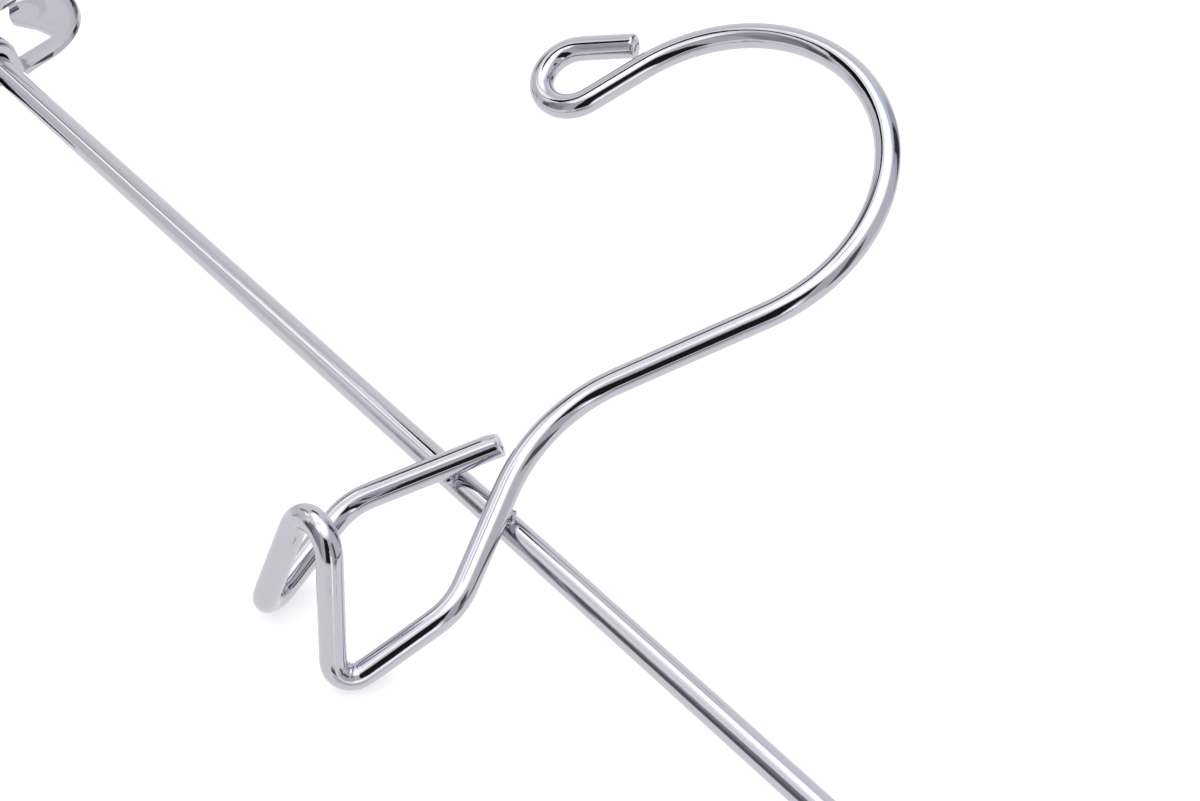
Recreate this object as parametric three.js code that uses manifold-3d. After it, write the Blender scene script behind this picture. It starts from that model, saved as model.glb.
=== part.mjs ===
// Stackable clip hanger: a straight bar, one bent wire that makes the hook and the stack hook, and two
// sprung clips that slide along the bar. Millimetres, +Z up, hanging. The origin is the inside top of the
// hook, where a rail carries the hanger. +X runs along the bar and -Y is the front, where the stack hook
// points.

import * as THREE from 'three';
import { mergeVertices } from 'three/addons/utils/BufferGeometryUtils.js';
import Module from 'manifold-3d';

// Bar
const BAR_DIAMETER = 4.1;
const BAR_LENGTH = 350;
const BAR_SIDES = 24;

// Hook wire, described by its centre line. X is measured from the middle of the bar, Z from the bar's axis.
const WIRE_DIAMETER = 3.8;
const WIRE_SIDES = 12;
const CROSSING_GAP = 0.1;
const BEND_STEP_DEG = 9;

const TAIL_END_X = -1.4;
const TAIL_END_Z = 7.6;
const LEFT_BEND_X = -12.8;
const LEFT_BEND_Z = -13.3;
const LEFT_BEND_RADIUS = 9.5;
const LEFT_CORNER_X = -9.2;
const LEFT_CORNER_Z = -34.8;
const LEFT_CORNER_RADIUS = 3.6;

const LOOP_REACH = 18;
const LOOP_TOP_Z = -18.8;
const LOOP_LEFT_X = -4.4;
const LOOP_RIGHT_X = 2.3;
const LOOP_RADIUS = 4.2;

const RIGHT_CORNER_X = 8.7;
const RIGHT_CORNER_Z = -33.4;
const RIGHT_CORNER_RADIUS = 2.7;
const RIGHT_BEND_X = 12.9;
const RIGHT_BEND_Z = -13.4;
const RIGHT_BEND_RADIUS = 10;

const NECK_X = -0.15;
const NECK_Z = 14.2;
const NECK_RADIUS = 25.5;
const HOOK_CENTRE_X = -7.6;
const HOOK_CENTRE_Z = 57.3;
const HOOK_RADIUS = 25.7;
const HOOK_END_DEG = 162.7;
const HOOK_LEAD = 9.5;
const CURL_RADIUS = 5.4;
const CURL_SWEEP_DEG = 216.3;
const TIP_LENGTH = 9;

// Weld beads at the two crossings
const WELD_SPREAD = 3.1;
const WELD_HEIGHT = 1.5;
const WELD_GAP = 0.15;

// Caps on the bar's ends
const CAP_WALL = 1.3;
const CAP_GRIP = 6;
const CAP_CROWN = 1.2;
const CAP_GAP = 0.1;

// Clip, described from the bar's axis. Its two plates turn on a hollow rivet that slides along the bar.
const CLIP_INSET = 23.7;
const TUBE_PLAY = 0.25;
const TUBE_WALL = 0.5;
const TUBE_FLANGE = 1.1;
const TUBE_FLANGE_THICKNESS = 0.6;
const SIDE_PLAY = 0.3;

const SHEET = 1.0;
const OUTLINE_STEPS = 8;
const CLIP_HALF_WIDTH = 14;
const EAR_WALL = 1.4;
const EAR_PLAY = 0.15;
const EAR_RISE = 4.5;
const EAR_DROP = 4.5;

const LEVER_LEAN_DEG = 15;
const LEVER_LENGTH = 21;
const LEVER_CORNER = 11.5;
const WINDOW_FLOOR = 5.2;
const WINDOW_CORNER = 13;
const WINDOW_RIM = 4.1;
const WINDOW_TAPER = 0.1;
const FINGER_PAD_DIP = 9.9;
const TONGUE_BASE = 3.2;
const TONGUE_TIP = 1.5;
const TONGUE_DROP = 0.7;

const BEND_BELOW = 1.0;
const GRIP_TOP = 20;
const GRIP_LENGTH = 11;
const GRIP_HALF_WIDTH = 13;
const GRIP_CORNER = 3;

const PAD_WALL = 0.9;
const PAD_GAP = 0.2;
const PAD_OPENING = 0.5;
const JAW_GAP = 0.3;

// Torsion spring
const SPRING_WIRE = 1.0;
const SPRING_PLAY = 0.6;
const SPRING_PITCH = 1.5;
const SPRING_FULL_TURNS = 4;
const SPRING_LEG = 13;
const LEG_GAP = 0.3;
const CURL_STEPS = 8;
const SPRING_SIDES = 5;

// Worked-out sizes
const radians = THREE.MathUtils.degToRad;
const barRadius = BAR_DIAMETER / 2;
const wireRadius = WIRE_DIAMETER / 2;
const barDepth = barRadius + wireRadius + CROSSING_GAP;
const tubeBore = barRadius + TUBE_PLAY;
const tubeRadius = tubeBore + TUBE_WALL;
const coilRadius = tubeRadius + SPRING_PLAY + SPRING_WIRE / 2;
const earHole = tubeRadius + EAR_PLAY;
const earRadius = earHole + EAR_WALL;
const innerHalfWidth = CLIP_HALF_WIDTH - SHEET - SIDE_PLAY;
const leverLean = radians(LEVER_LEAN_DEG);
const plateDistance = Math.max(coilRadius + SPRING_WIRE / 2 + LEG_GAP, earRadius + SIDE_PLAY) + SHEET / 2;
const gripDepth = JAW_GAP / 2 + PAD_WALL + PAD_GAP + SHEET / 2;
const clipPlace = BAR_LENGTH / 2 - CLIP_INSET;
const seat = new THREE.Vector3(HOOK_CENTRE_X, 0, HOOK_CENTRE_Z + HOOK_RADIUS - wireRadius);

// Finishes
const chrome = { color: 0xc9c8d2, roughness: 0.08, metalness: 1 };
const springSteel = { color: 0xb9bac2, roughness: 0.2, metalness: 1 };
const vinyl = { color: 0x17181a, roughness: 0.55, metalness: 0 };

const wasm = await Module();
wasm.setup();

const X_AXIS = new THREE.Vector3(1, 0, 0);
const Y_AXIS = new THREE.Vector3(0, 1, 0);
const FRONT = new THREE.Vector3(0, -1, 0);

function mesh(name, geometry, finish) {
  const node = new THREE.Mesh(geometry, new THREE.MeshStandardMaterial(finish));
  node.name = name;
  return node;
}

// Solids for cutting and joining

function solid(geometry, matrix = new THREE.Matrix4()) {
  const copy = geometry.clone().applyMatrix4(matrix);
  copy.deleteAttribute('normal');
  copy.deleteAttribute('uv');
  const merged = mergeVertices(copy, 1e-4);
  const vertProperties = new Float32Array(merged.attributes.position.array);
  const triVerts = new Uint32Array(merged.index.array);
  return new wasm.Manifold(new wasm.Mesh({ numProp: 3, vertProperties, triVerts }));
}

function surface(body) {
  const { vertProperties, triVerts } = body.getMesh();
  const geometry = new THREE.BufferGeometry();
  geometry.setAttribute('position', new THREE.BufferAttribute(new Float32Array(vertProperties), 3));
  geometry.setIndex(new THREE.BufferAttribute(new Uint32Array(triVerts), 1));
  geometry.computeVertexNormals();
  return geometry;
}

// A rod along a direction through a point
function rod(radius, length, direction, centre, sides) {
  const geometry = new THREE.CylinderGeometry(radius, radius, length, sides);
  const turn = new THREE.Quaternion().setFromUnitVectors(Y_AXIS, direction.clone().normalize());
  return solid(geometry, new THREE.Matrix4().compose(centre, turn, new THREE.Vector3(1, 1, 1)));
}

// Bent wire: a list of stations, each a point on the centre line with its direction

class BentWire extends THREE.Curve {
  constructor(stations) {
    super();
    this.stations = stations;
  }

  stationAt(u) {
    return this.stations[Math.round(u * (this.stations.length - 1))];
  }

  getPointAt(u, target = new THREE.Vector3()) {
    return target.copy(this.stationAt(u).point);
  }

  getTangentAt(u, target = new THREE.Vector3()) {
    return target.copy(this.stationAt(u).direction);
  }
}

function wireGeometry(stations, radius, sides) {
  const corners = Array.from({ length: sides }, (_, i) => {
    const turn = (2 * Math.PI * i) / sides;
    return new THREE.Vector2(radius * Math.cos(turn), radius * Math.sin(turn));
  });
  const section = new THREE.Shape(corners);
  const extrudePath = new BentWire(stations);
  return new THREE.ExtrudeGeometry(section, { steps: stations.length - 1, extrudePath });
}

// Stations round an arc: the spoke from the centre turns about the axis
function arcStations(centre, spoke, axis, sweep, steps = Math.ceil(sweep / radians(BEND_STEP_DEG))) {
  return Array.from({ length: steps + 1 }, (_, i) => {
    const turned = spoke.clone().applyAxisAngle(axis, (sweep * i) / steps);
    return { point: centre.clone().add(turned), direction: axis.clone().cross(turned).normalize() };
  });
}

// Stations round one bend of a wire that runs from before, round the corner, to after
function bendStations(before, corner, after, radius) {
  const arriving = corner.clone().sub(before).normalize();
  const leaving = after.clone().sub(corner).normalize();
  const sweep = arriving.angleTo(leaving);
  const axis = arriving.clone().cross(leaving).normalize();
  const inward = axis.clone().cross(arriving);
  const start = corner.clone().addScaledVector(arriving, -radius * Math.tan(sweep / 2));
  const centre = start.clone().addScaledVector(inward, radius);
  return arcStations(centre, inward.multiplyScalar(-radius), axis, sweep);
}

// Stations of a wire through a list of points, bent to a radius at each point between the ends
function bentRun(points, radii) {
  const first = { point: points[0], direction: points[1].clone().sub(points[0]).normalize() };
  const bends = radii.map((radius, i) => bendStations(points[i], points[i + 1], points[i + 2], radius));
  return [first, ...bends.flat()];
}

function hookPoint(x, z, y = 0) {
  return new THREE.Vector3(x, y, z);
}

const tailEnd = hookPoint(TAIL_END_X, TAIL_END_Z);
const leftBend = hookPoint(LEFT_BEND_X, LEFT_BEND_Z);
const rightBend = hookPoint(RIGHT_BEND_X, RIGHT_BEND_Z);
const neck = hookPoint(NECK_X, NECK_Z);
const hookCentre = hookPoint(HOOK_CENTRE_X, HOOK_CENTRE_Z);

function hookWireStations() {
  // The straight from the neck meets the hook's arc as a tangent
  const toCentre = hookCentre.clone().sub(neck);
  const tangentTurn = Math.asin(HOOK_RADIUS / toCentre.length());
  const heading = toCentre.clone().normalize().applyAxisAngle(FRONT, -tangentTurn);
  const arcStart = neck.clone().addScaledVector(heading, toCentre.length() * Math.cos(tangentTurn));

  const run = bentRun(
    [
      tailEnd,
      leftBend,
      hookPoint(LEFT_CORNER_X, LEFT_CORNER_Z),
      hookPoint(LOOP_LEFT_X, LOOP_TOP_Z, -LOOP_REACH),
      hookPoint(LOOP_RIGHT_X, LOOP_TOP_Z, -LOOP_REACH),
      hookPoint(RIGHT_CORNER_X, RIGHT_CORNER_Z),
      rightBend,
      neck,
      arcStart,
    ],
    [LEFT_BEND_RADIUS, LEFT_CORNER_RADIUS, LOOP_RADIUS, LOOP_RADIUS, RIGHT_CORNER_RADIUS, RIGHT_BEND_RADIUS,
      NECK_RADIUS],
  );

  const spoke = arcStart.clone().sub(hookCentre);
  const startTurn = Math.atan2(spoke.z, spoke.x);
  const hook = arcStations(hookCentre, spoke, FRONT, radians(HOOK_END_DEG) - startTurn);

  // A short straight leads into the curl, which turns the other way, outwards
  const hookEnd = hook.at(-1);
  const curlStart = hookEnd.point.clone().addScaledVector(hookEnd.direction, HOOK_LEAD);
  const curlSpoke = hookEnd.point.clone().sub(hookCentre).setLength(CURL_RADIUS).negate();
  const curlCentre = curlStart.clone().sub(curlSpoke);
  const curl = arcStations(curlCentre, curlSpoke, Y_AXIS, radians(CURL_SWEEP_DEG));
  const curlEnd = curl.at(-1);
  const tipPoint = curlEnd.point.clone().addScaledVector(curlEnd.direction, TIP_LENGTH);
  const tip = { point: tipPoint, direction: curlEnd.direction };
  return [...run, ...hook, ...curl, tip];
}

// Weld bead: a flat drop of metal round the place where a straight run of the wire lies on the bar
function weldGeometry(runStart, runEnd) {
  const along = runEnd.clone().sub(runStart);
  const crossing = runStart.clone().addScaledVector(along, -runStart.z / along.z);
  const middle = crossing.clone().setY(wireRadius + CROSSING_GAP / 2);
  const size = new THREE.Vector3(WELD_SPREAD, WELD_HEIGHT, WELD_SPREAD);
  const drop = solid(
    new THREE.SphereGeometry(1, 20, 12),
    new THREE.Matrix4().compose(middle, new THREE.Quaternion(), size),
  );
  const reach = 6 * WELD_SPREAD;
  const wire = rod(wireRadius + WELD_GAP, reach, along, crossing, BAR_SIDES);
  const bar = rod(barRadius + WELD_GAP, reach, X_AXIS, crossing.clone().setY(barDepth), BAR_SIDES);
  return surface(drop.subtract(wire).subtract(bar));
}

// Domed cap pushed over an end of the bar. Its mouth faces back along the axis it is turned on.
function capGeometry() {
  const bore = barRadius + CAP_GAP;
  const outer = bore + CAP_WALL;
  const dome = new THREE.EllipseCurve(0, CAP_CROWN, outer, CAP_CROWN, 0, Math.PI / 2);
  const profile = [
    new THREE.Vector2(0, CAP_GAP),
    new THREE.Vector2(bore, CAP_GAP),
    new THREE.Vector2(bore, -CAP_GRIP),
    new THREE.Vector2(outer, -CAP_GRIP),
    ...dome.getPoints(4),
  ];
  profile.at(-1).x = 0;
  return new THREE.LatheGeometry(profile, BAR_SIDES);
}

// Hollow rivet with a rolled flange at each end
function pivotTubeGeometry() {
  const half = CLIP_HALF_WIDTH + SIDE_PLAY + TUBE_FLANGE_THICKNESS;
  const shoulder = half - TUBE_FLANGE_THICKNESS;
  const flange = tubeRadius + TUBE_FLANGE;
  const profile = [
    [tubeBore, -half], [flange, -half], [flange, -shoulder], [tubeRadius, -shoulder],
    [tubeRadius, shoulder], [flange, shoulder], [flange, half], [tubeBore, half], [tubeBore, -half],
  ].map(([radius, along]) => new THREE.Vector2(radius, along));
  return new THREE.LatheGeometry(profile, BAR_SIDES).rotateZ(-Math.PI / 2);
}

// Clip plate. Its side view is three flat panels: the lever above the bar, the web and the upright grip.

const leverRun = new THREE.Vector3(0, Math.sin(leverLean), Math.cos(leverLean));
const leverBack = new THREE.Vector3(0, Math.cos(leverLean), -Math.sin(leverLean));
const leverFoot = leverBack.clone().multiplyScalar(plateDistance);
const webTop = leverFoot.clone().addScaledVector(leverRun, -BEND_BELOW);
const gripStart = new THREE.Vector3(0, gripDepth, -GRIP_TOP);
const webRun = gripStart.clone().sub(webTop).normalize();
const webLength = gripStart.distanceTo(webTop);

function slabGeometry(outline, depth) {
  return new THREE.ExtrudeGeometry(outline, { depth, bevelEnabled: false, curveSegments: OUTLINE_STEPS });
}

// A flat outline, its second axis along a run in the side view, as a sheet centred on that run
function sheetPanel(outline, start, run) {
  const across = X_AXIS.clone().cross(run);
  const geometry = slabGeometry(outline, SHEET);
  const corner = start.clone().addScaledVector(across, -SHEET / 2);
  return solid(geometry, new THREE.Matrix4().makeBasis(X_AXIS, run, across).setPosition(corner));
}

function leverOutline(halfWidth) {
  const corner = Math.min(LEVER_CORNER, halfWidth);
  const shoulder = LEVER_LENGTH - corner;
  const outline = new THREE.Shape();
  outline.moveTo(-halfWidth, -BEND_BELOW);
  outline.lineTo(halfWidth, -BEND_BELOW);
  outline.absarc(halfWidth - corner, shoulder, corner, 0, Math.PI / 2, false);
  outline.absarc(corner - halfWidth, shoulder, corner, Math.PI / 2, Math.PI, false);
  outline.closePath();

  // The window's upper edge is the lower edge of the finger pad, a blunt tongue
  const floorHalf = halfWidth - WINDOW_RIM;
  const cornerHalf = floorHalf - WINDOW_TAPER;
  const base = WINDOW_CORNER - TONGUE_DROP;
  const tip = FINGER_PAD_DIP;
  const window = new THREE.Path();
  window.moveTo(-floorHalf, WINDOW_FLOOR);
  window.lineTo(floorHalf, WINDOW_FLOOR);
  window.lineTo(cornerHalf, WINDOW_CORNER);
  window.bezierCurveTo(TONGUE_BASE, base, TONGUE_TIP, tip, 0, tip);
  window.bezierCurveTo(-TONGUE_TIP, tip, -TONGUE_BASE, base, -cornerHalf, WINDOW_CORNER);
  window.closePath();
  outline.holes.push(window);
  return outline;
}

function webOutline(halfWidth) {
  return new THREE.Shape([
    new THREE.Vector2(-halfWidth, 0),
    new THREE.Vector2(halfWidth, 0),
    new THREE.Vector2(GRIP_HALF_WIDTH, webLength),
    new THREE.Vector2(-GRIP_HALF_WIDTH, webLength),
  ]);
}

function gripOutline(halfWidth, length, corner) {
  const outline = new THREE.Shape();
  outline.moveTo(-halfWidth, 0);
  outline.lineTo(halfWidth, 0);
  outline.absarc(halfWidth - corner, length - corner, corner, 0, Math.PI / 2, false);
  outline.absarc(corner - halfWidth, length - corner, corner, Math.PI / 2, Math.PI, false);
  outline.closePath();
  return outline;
}

// Side ear: a round eye about the bar, widened to meet the plate
function earSolid(halfWidth, side) {
  const top = leverFoot.clone().addScaledVector(leverRun, EAR_RISE);
  const bottom = webTop.clone().addScaledVector(webRun, EAR_DROP);
  const outline = new THREE.Shape();
  outline.moveTo(top.y, top.z);
  outline.absarc(0, 0, earRadius, Math.PI / 2, 1.5 * Math.PI, false);
  outline.lineTo(bottom.y, bottom.z);
  outline.lineTo(webTop.y, webTop.z);
  outline.closePath();
  const geometry = slabGeometry(outline, SHEET);
  const start = side > 0 ? halfWidth - SHEET : -halfWidth;
  const basis = new THREE.Matrix4().makeBasis(Y_AXIS, new THREE.Vector3(0, 0, 1), X_AXIS);
  return solid(geometry, basis.setPosition(start, 0, 0));
}

function clipPlateGeometry(halfWidth) {
  const down = new THREE.Vector3(0, 0, -1);
  const width = 2 * halfWidth;
  const bends = [[webTop, width], [gripStart, 2 * GRIP_HALF_WIDTH]];
  let plate = sheetPanel(leverOutline(halfWidth), leverFoot, leverRun)
    .add(sheetPanel(webOutline(halfWidth), webTop, webRun))
    .add(sheetPanel(gripOutline(GRIP_HALF_WIDTH, GRIP_LENGTH, GRIP_CORNER), gripStart, down));
  for (const [place, length] of bends) plate = plate.add(rod(SHEET / 2, length, X_AXIS, place, WIRE_SIDES));
  for (const side of [-1, 1]) plate = plate.add(earSolid(halfWidth, side));
  return surface(plate.subtract(rod(earHole, 2 * width, X_AXIS, new THREE.Vector3(), BAR_SIDES)));
}

// Vinyl sleeve over the grip, open at its top
function padGeometry() {
  const skin = PAD_GAP + PAD_WALL;
  const outer = gripOutline(GRIP_HALF_WIDTH + skin, GRIP_LENGTH + skin - PAD_OPENING, GRIP_CORNER + skin);
  const pocketLength = GRIP_LENGTH + PAD_GAP + PAD_OPENING;
  const pocket = gripOutline(GRIP_HALF_WIDTH + PAD_GAP, pocketLength, GRIP_CORNER + PAD_GAP);
  const down = new THREE.Vector3(0, 0, -1);
  const across = X_AXIS.clone().cross(down);
  const slab = (outline, thickness, top) => {
    const geometry = slabGeometry(outline, thickness);
    const place = new THREE.Vector3(0, gripDepth, top).addScaledVector(across, -thickness / 2);
    return solid(geometry, new THREE.Matrix4().makeBasis(X_AXIS, down, across).setPosition(place));
  };
  const body = slab(outer, SHEET + 2 * skin, -GRIP_TOP - PAD_OPENING);
  return surface(body.subtract(slab(pocket, SHEET + 2 * PAD_GAP, -GRIP_TOP + PAD_OPENING)));
}

// Torsion spring: a leg down the rear lever, turns round the pivot tube, a leg up the front lever
function springStations() {
  const sweep = Math.PI - 2 * leverLean + 2 * Math.PI * SPRING_FULL_TURNS;
  const steps = Math.ceil((sweep / (2 * Math.PI)) * CURL_STEPS);
  const length = (sweep / (2 * Math.PI)) * SPRING_PITCH;
  const coil = Array.from({ length: steps + 1 }, (_, i) => {
    const turn = -leverLean - (sweep * i) / steps;
    const along = length * (i / steps - 0.5);
    const point = new THREE.Vector3(along, coilRadius * Math.cos(turn), coilRadius * Math.sin(turn));
    const direction = new THREE.Vector3(length / sweep, point.z, -point.y).normalize();
    return { point, direction };
  });
  const legEnd = (station, way) => {
    const direction = station.direction.clone().setX(0).normalize();
    return { point: station.point.clone().addScaledVector(direction, way * SPRING_LEG), direction };
  };
  return [legEnd(coil[0], -1), ...coil, legEnd(coil.at(-1), 1)];
}

// Least gap of the spring to itself, measured on points at least half a turn apart
function springGap(stations) {
  let least = Infinity;
  stations.forEach((a, i) => {
    for (let j = i + CURL_STEPS / 2; j < stations.length; j += 1) {
      least = Math.min(least, a.point.distanceTo(stations[j].point));
    }
  });
  return least - SPRING_WIRE;
}

function clip(side, place) {
  const group = new THREE.Group();
  group.position.set(place, barDepth, 0);
  group.add(mesh(`${side}_pivot_tube`, pivotTubeGeometry(), chrome));
  group.add(mesh(`${side}_rear_plate`, clipPlateGeometry(CLIP_HALF_WIDTH), chrome));
  group.add(mesh(`${side}_rear_pad`, padGeometry(), vinyl));
  const spring = wireGeometry(springStations(), SPRING_WIRE / 2, SPRING_SIDES);
  group.add(mesh(`${side}_spring`, spring, springSteel));

  const front = new THREE.Group();
  front.rotation.z = Math.PI;
  front.add(mesh(`${side}_front_plate`, clipPlateGeometry(innerHalfWidth), chrome));
  front.add(mesh(`${side}_front_pad`, padGeometry(), vinyl));
  group.add(front);
  return group;
}

function endCap(side, direction) {
  const cap = mesh(`${side}_end_cap`, capGeometry(), chrome);
  cap.position.set((direction * BAR_LENGTH) / 2, barDepth, 0);
  cap.rotation.z = (-direction * Math.PI) / 2;
  return cap;
}

const hanger = new THREE.Group();
hanger.position.copy(seat).negate();

const barGeometry = new THREE.CylinderGeometry(barRadius, barRadius, BAR_LENGTH, BAR_SIDES);
const bar = mesh('cross_bar', barGeometry, chrome);
bar.rotation.z = -Math.PI / 2;
bar.position.y = barDepth;
hanger.add(bar);
hanger.add(mesh('hook_wire', wireGeometry(hookWireStations(), wireRadius, WIRE_SIDES), chrome));
hanger.add(mesh('weld_tail', weldGeometry(tailEnd, leftBend), chrome));
hanger.add(mesh('weld_shank', weldGeometry(neck, rightBend), chrome));
hanger.add(endCap('left', -1), endCap('right', 1));
hanger.add(clip('left', -clipPlace), clip('right', clipPlace));

console.log(`least gap between the spring's turns: ${springGap(springStations()).toFixed(2)} mm`);

const part = new THREE.Group();
part.add(hanger);

export default part;
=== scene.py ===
import math

import bmesh
import bpy
from bpy.props import FloatProperty, FloatVectorProperty, IntProperty, PointerProperty
from mathutils import Matrix, Quaternion, Vector, noise


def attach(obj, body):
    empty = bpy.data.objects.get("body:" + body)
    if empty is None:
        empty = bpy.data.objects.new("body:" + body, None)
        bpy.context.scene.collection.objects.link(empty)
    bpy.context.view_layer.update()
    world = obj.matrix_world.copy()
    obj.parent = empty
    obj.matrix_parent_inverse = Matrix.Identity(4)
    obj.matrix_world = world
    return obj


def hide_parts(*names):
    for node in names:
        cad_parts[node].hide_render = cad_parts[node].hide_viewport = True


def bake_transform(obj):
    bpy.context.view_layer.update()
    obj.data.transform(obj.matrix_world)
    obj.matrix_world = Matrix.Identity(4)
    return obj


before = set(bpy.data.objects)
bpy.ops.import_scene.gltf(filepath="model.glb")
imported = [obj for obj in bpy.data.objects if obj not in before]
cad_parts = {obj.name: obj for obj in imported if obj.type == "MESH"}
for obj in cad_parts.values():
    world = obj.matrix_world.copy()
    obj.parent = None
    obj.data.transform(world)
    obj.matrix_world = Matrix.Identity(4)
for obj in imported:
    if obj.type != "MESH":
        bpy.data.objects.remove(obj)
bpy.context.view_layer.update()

bl_info = {
    "name": "Stackable clip hanger",
    "version": (1, 0, 0),
    "blender": (4, 5, 0),
    "location": "View3D > Sidebar > Hanger",
    "description": "Chrome wire hanger with a stacking loop and two sliding sprung clips",
    "category": "Object",
}

SIDES = ("left", "right")
X_AXIS = Vector((1, 0, 0))
FRONT = Vector((0, -1, 0))
MM = 0.001

# Fineness of the meshes. The last two are shared by sheets that meet.
BEND_STEP = math.radians(3)
BAR_SPACING = 4 * MM
WIRE_SPACING = 0.25 * MM
EASING_ROUNDS = 15
LATHE_STEPS = 64
SPRING_SIDES = 16
SHEET_COLUMNS = 22
EAR_ROWS = 24


# Settings

def length(name, default_mm, description, lowest_mm=0.01):
    return FloatProperty(
        name=name, description=description, default=default_mm * MM, min=lowest_mm * MM,
        unit="LENGTH", precision=5,
    )


def place(name, default_mm, description):
    return FloatProperty(
        name=name, description=description, default=default_mm * MM, unit="LENGTH", precision=5
    )


def plane_point(name, default_mm, description):
    """A place in the hook's plane: along the bar and above it"""
    return FloatVectorProperty(
        name=name, description=description, default=[v * MM for v in default_mm], size=2,
        unit="LENGTH", precision=5,
    )


def turn(name, default_deg, description):
    return FloatProperty(
        name=name, description=description, default=math.radians(default_deg), subtype="ANGLE"
    )


def colour(name, default, description):
    return FloatVectorProperty(
        name=name, description=description, default=default, subtype="COLOR", size=3, min=0, max=1
    )


def share(name, default, description):
    return FloatProperty(name=name, description=description, default=default, min=0, max=1, subtype="FACTOR")


class HangerWireSettings(bpy.types.PropertyGroup):
    """The bar and the bent wire's centre line, measured from the middle of the bar's axis"""

    bar_diameter: length("Bar diameter", 4.1, "Thickness of the straight bar")
    bar_length: length("Bar length", 350, "Length of the straight bar")
    wire_diameter: length("Wire diameter", 3.8, "Thickness of the hook wire")
    crossing_gap: length("Crossing gap", 0.1, "Space between wire and bar where they cross", 0)
    tail: plane_point("Tail", (-1.4, 7.6), "Where the sheared tail ends")
    left_bend: plane_point("Left bend", (-12.8, -13.3), "Corner of the left bend")
    left_bend_radius: length("Left bend radius", 9.5, "Radius of the left bend")
    left_corner: plane_point("Left corner", (-9.2, -34.8), "Corner where the left run turns forward")
    left_corner_radius: length("Left corner radius", 3.6, "Radius of the left forward corner")
    loop_reach: length("Loop reach", 18, "How far the stacking loop stands forward")
    loop_top_z: place("Loop top Z", -18.8, "Top of the stacking loop, above the bar")
    loop_left_x: place("Loop left X", -4.4, "Left end of the loop's top, along the bar")
    loop_right_x: place("Loop right X", 2.3, "Right end of the loop's top, along the bar")
    loop_radius: length("Loop radius", 4.2, "Radius of the two bends at the loop's top")
    right_corner: plane_point("Right corner", (8.7, -33.4), "Corner where the right run turns forward")
    right_corner_radius: length("Right corner radius", 2.7, "Radius of the right forward corner")
    right_bend: plane_point("Right bend", (12.9, -13.4), "Corner of the right bend")
    right_bend_radius: length("Right bend radius", 10, "Radius of the right bend")
    neck: plane_point("Neck", (-0.15, 14.2), "Corner of the neck's bend")
    neck_radius: length("Neck radius", 25.5, "Radius of the neck's bend")
    hook: plane_point("Hook", (-7.6, 57.3), "Centre of the hook's arc")
    hook_radius: length("Hook radius", 25.7, "Radius of the hook's centre line")
    hook_end: turn("Hook end", 162.7, "Where the hook's arc ends, from the bar's direction")
    hook_lead: length("Hook lead", 9.5, "Straight between the hook's arc and the curl")
    curl_radius: length("Curl radius", 5.4, "Radius of the curled tip")
    curl_sweep: turn("Curl sweep", 216.3, "How far the tip curls round")
    tip_length: length("Tip length", 9, "Straight end of the curled tip")
    sides: IntProperty(name="Sides", description="Faces round the wire", default=40, min=8, max=96)


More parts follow.
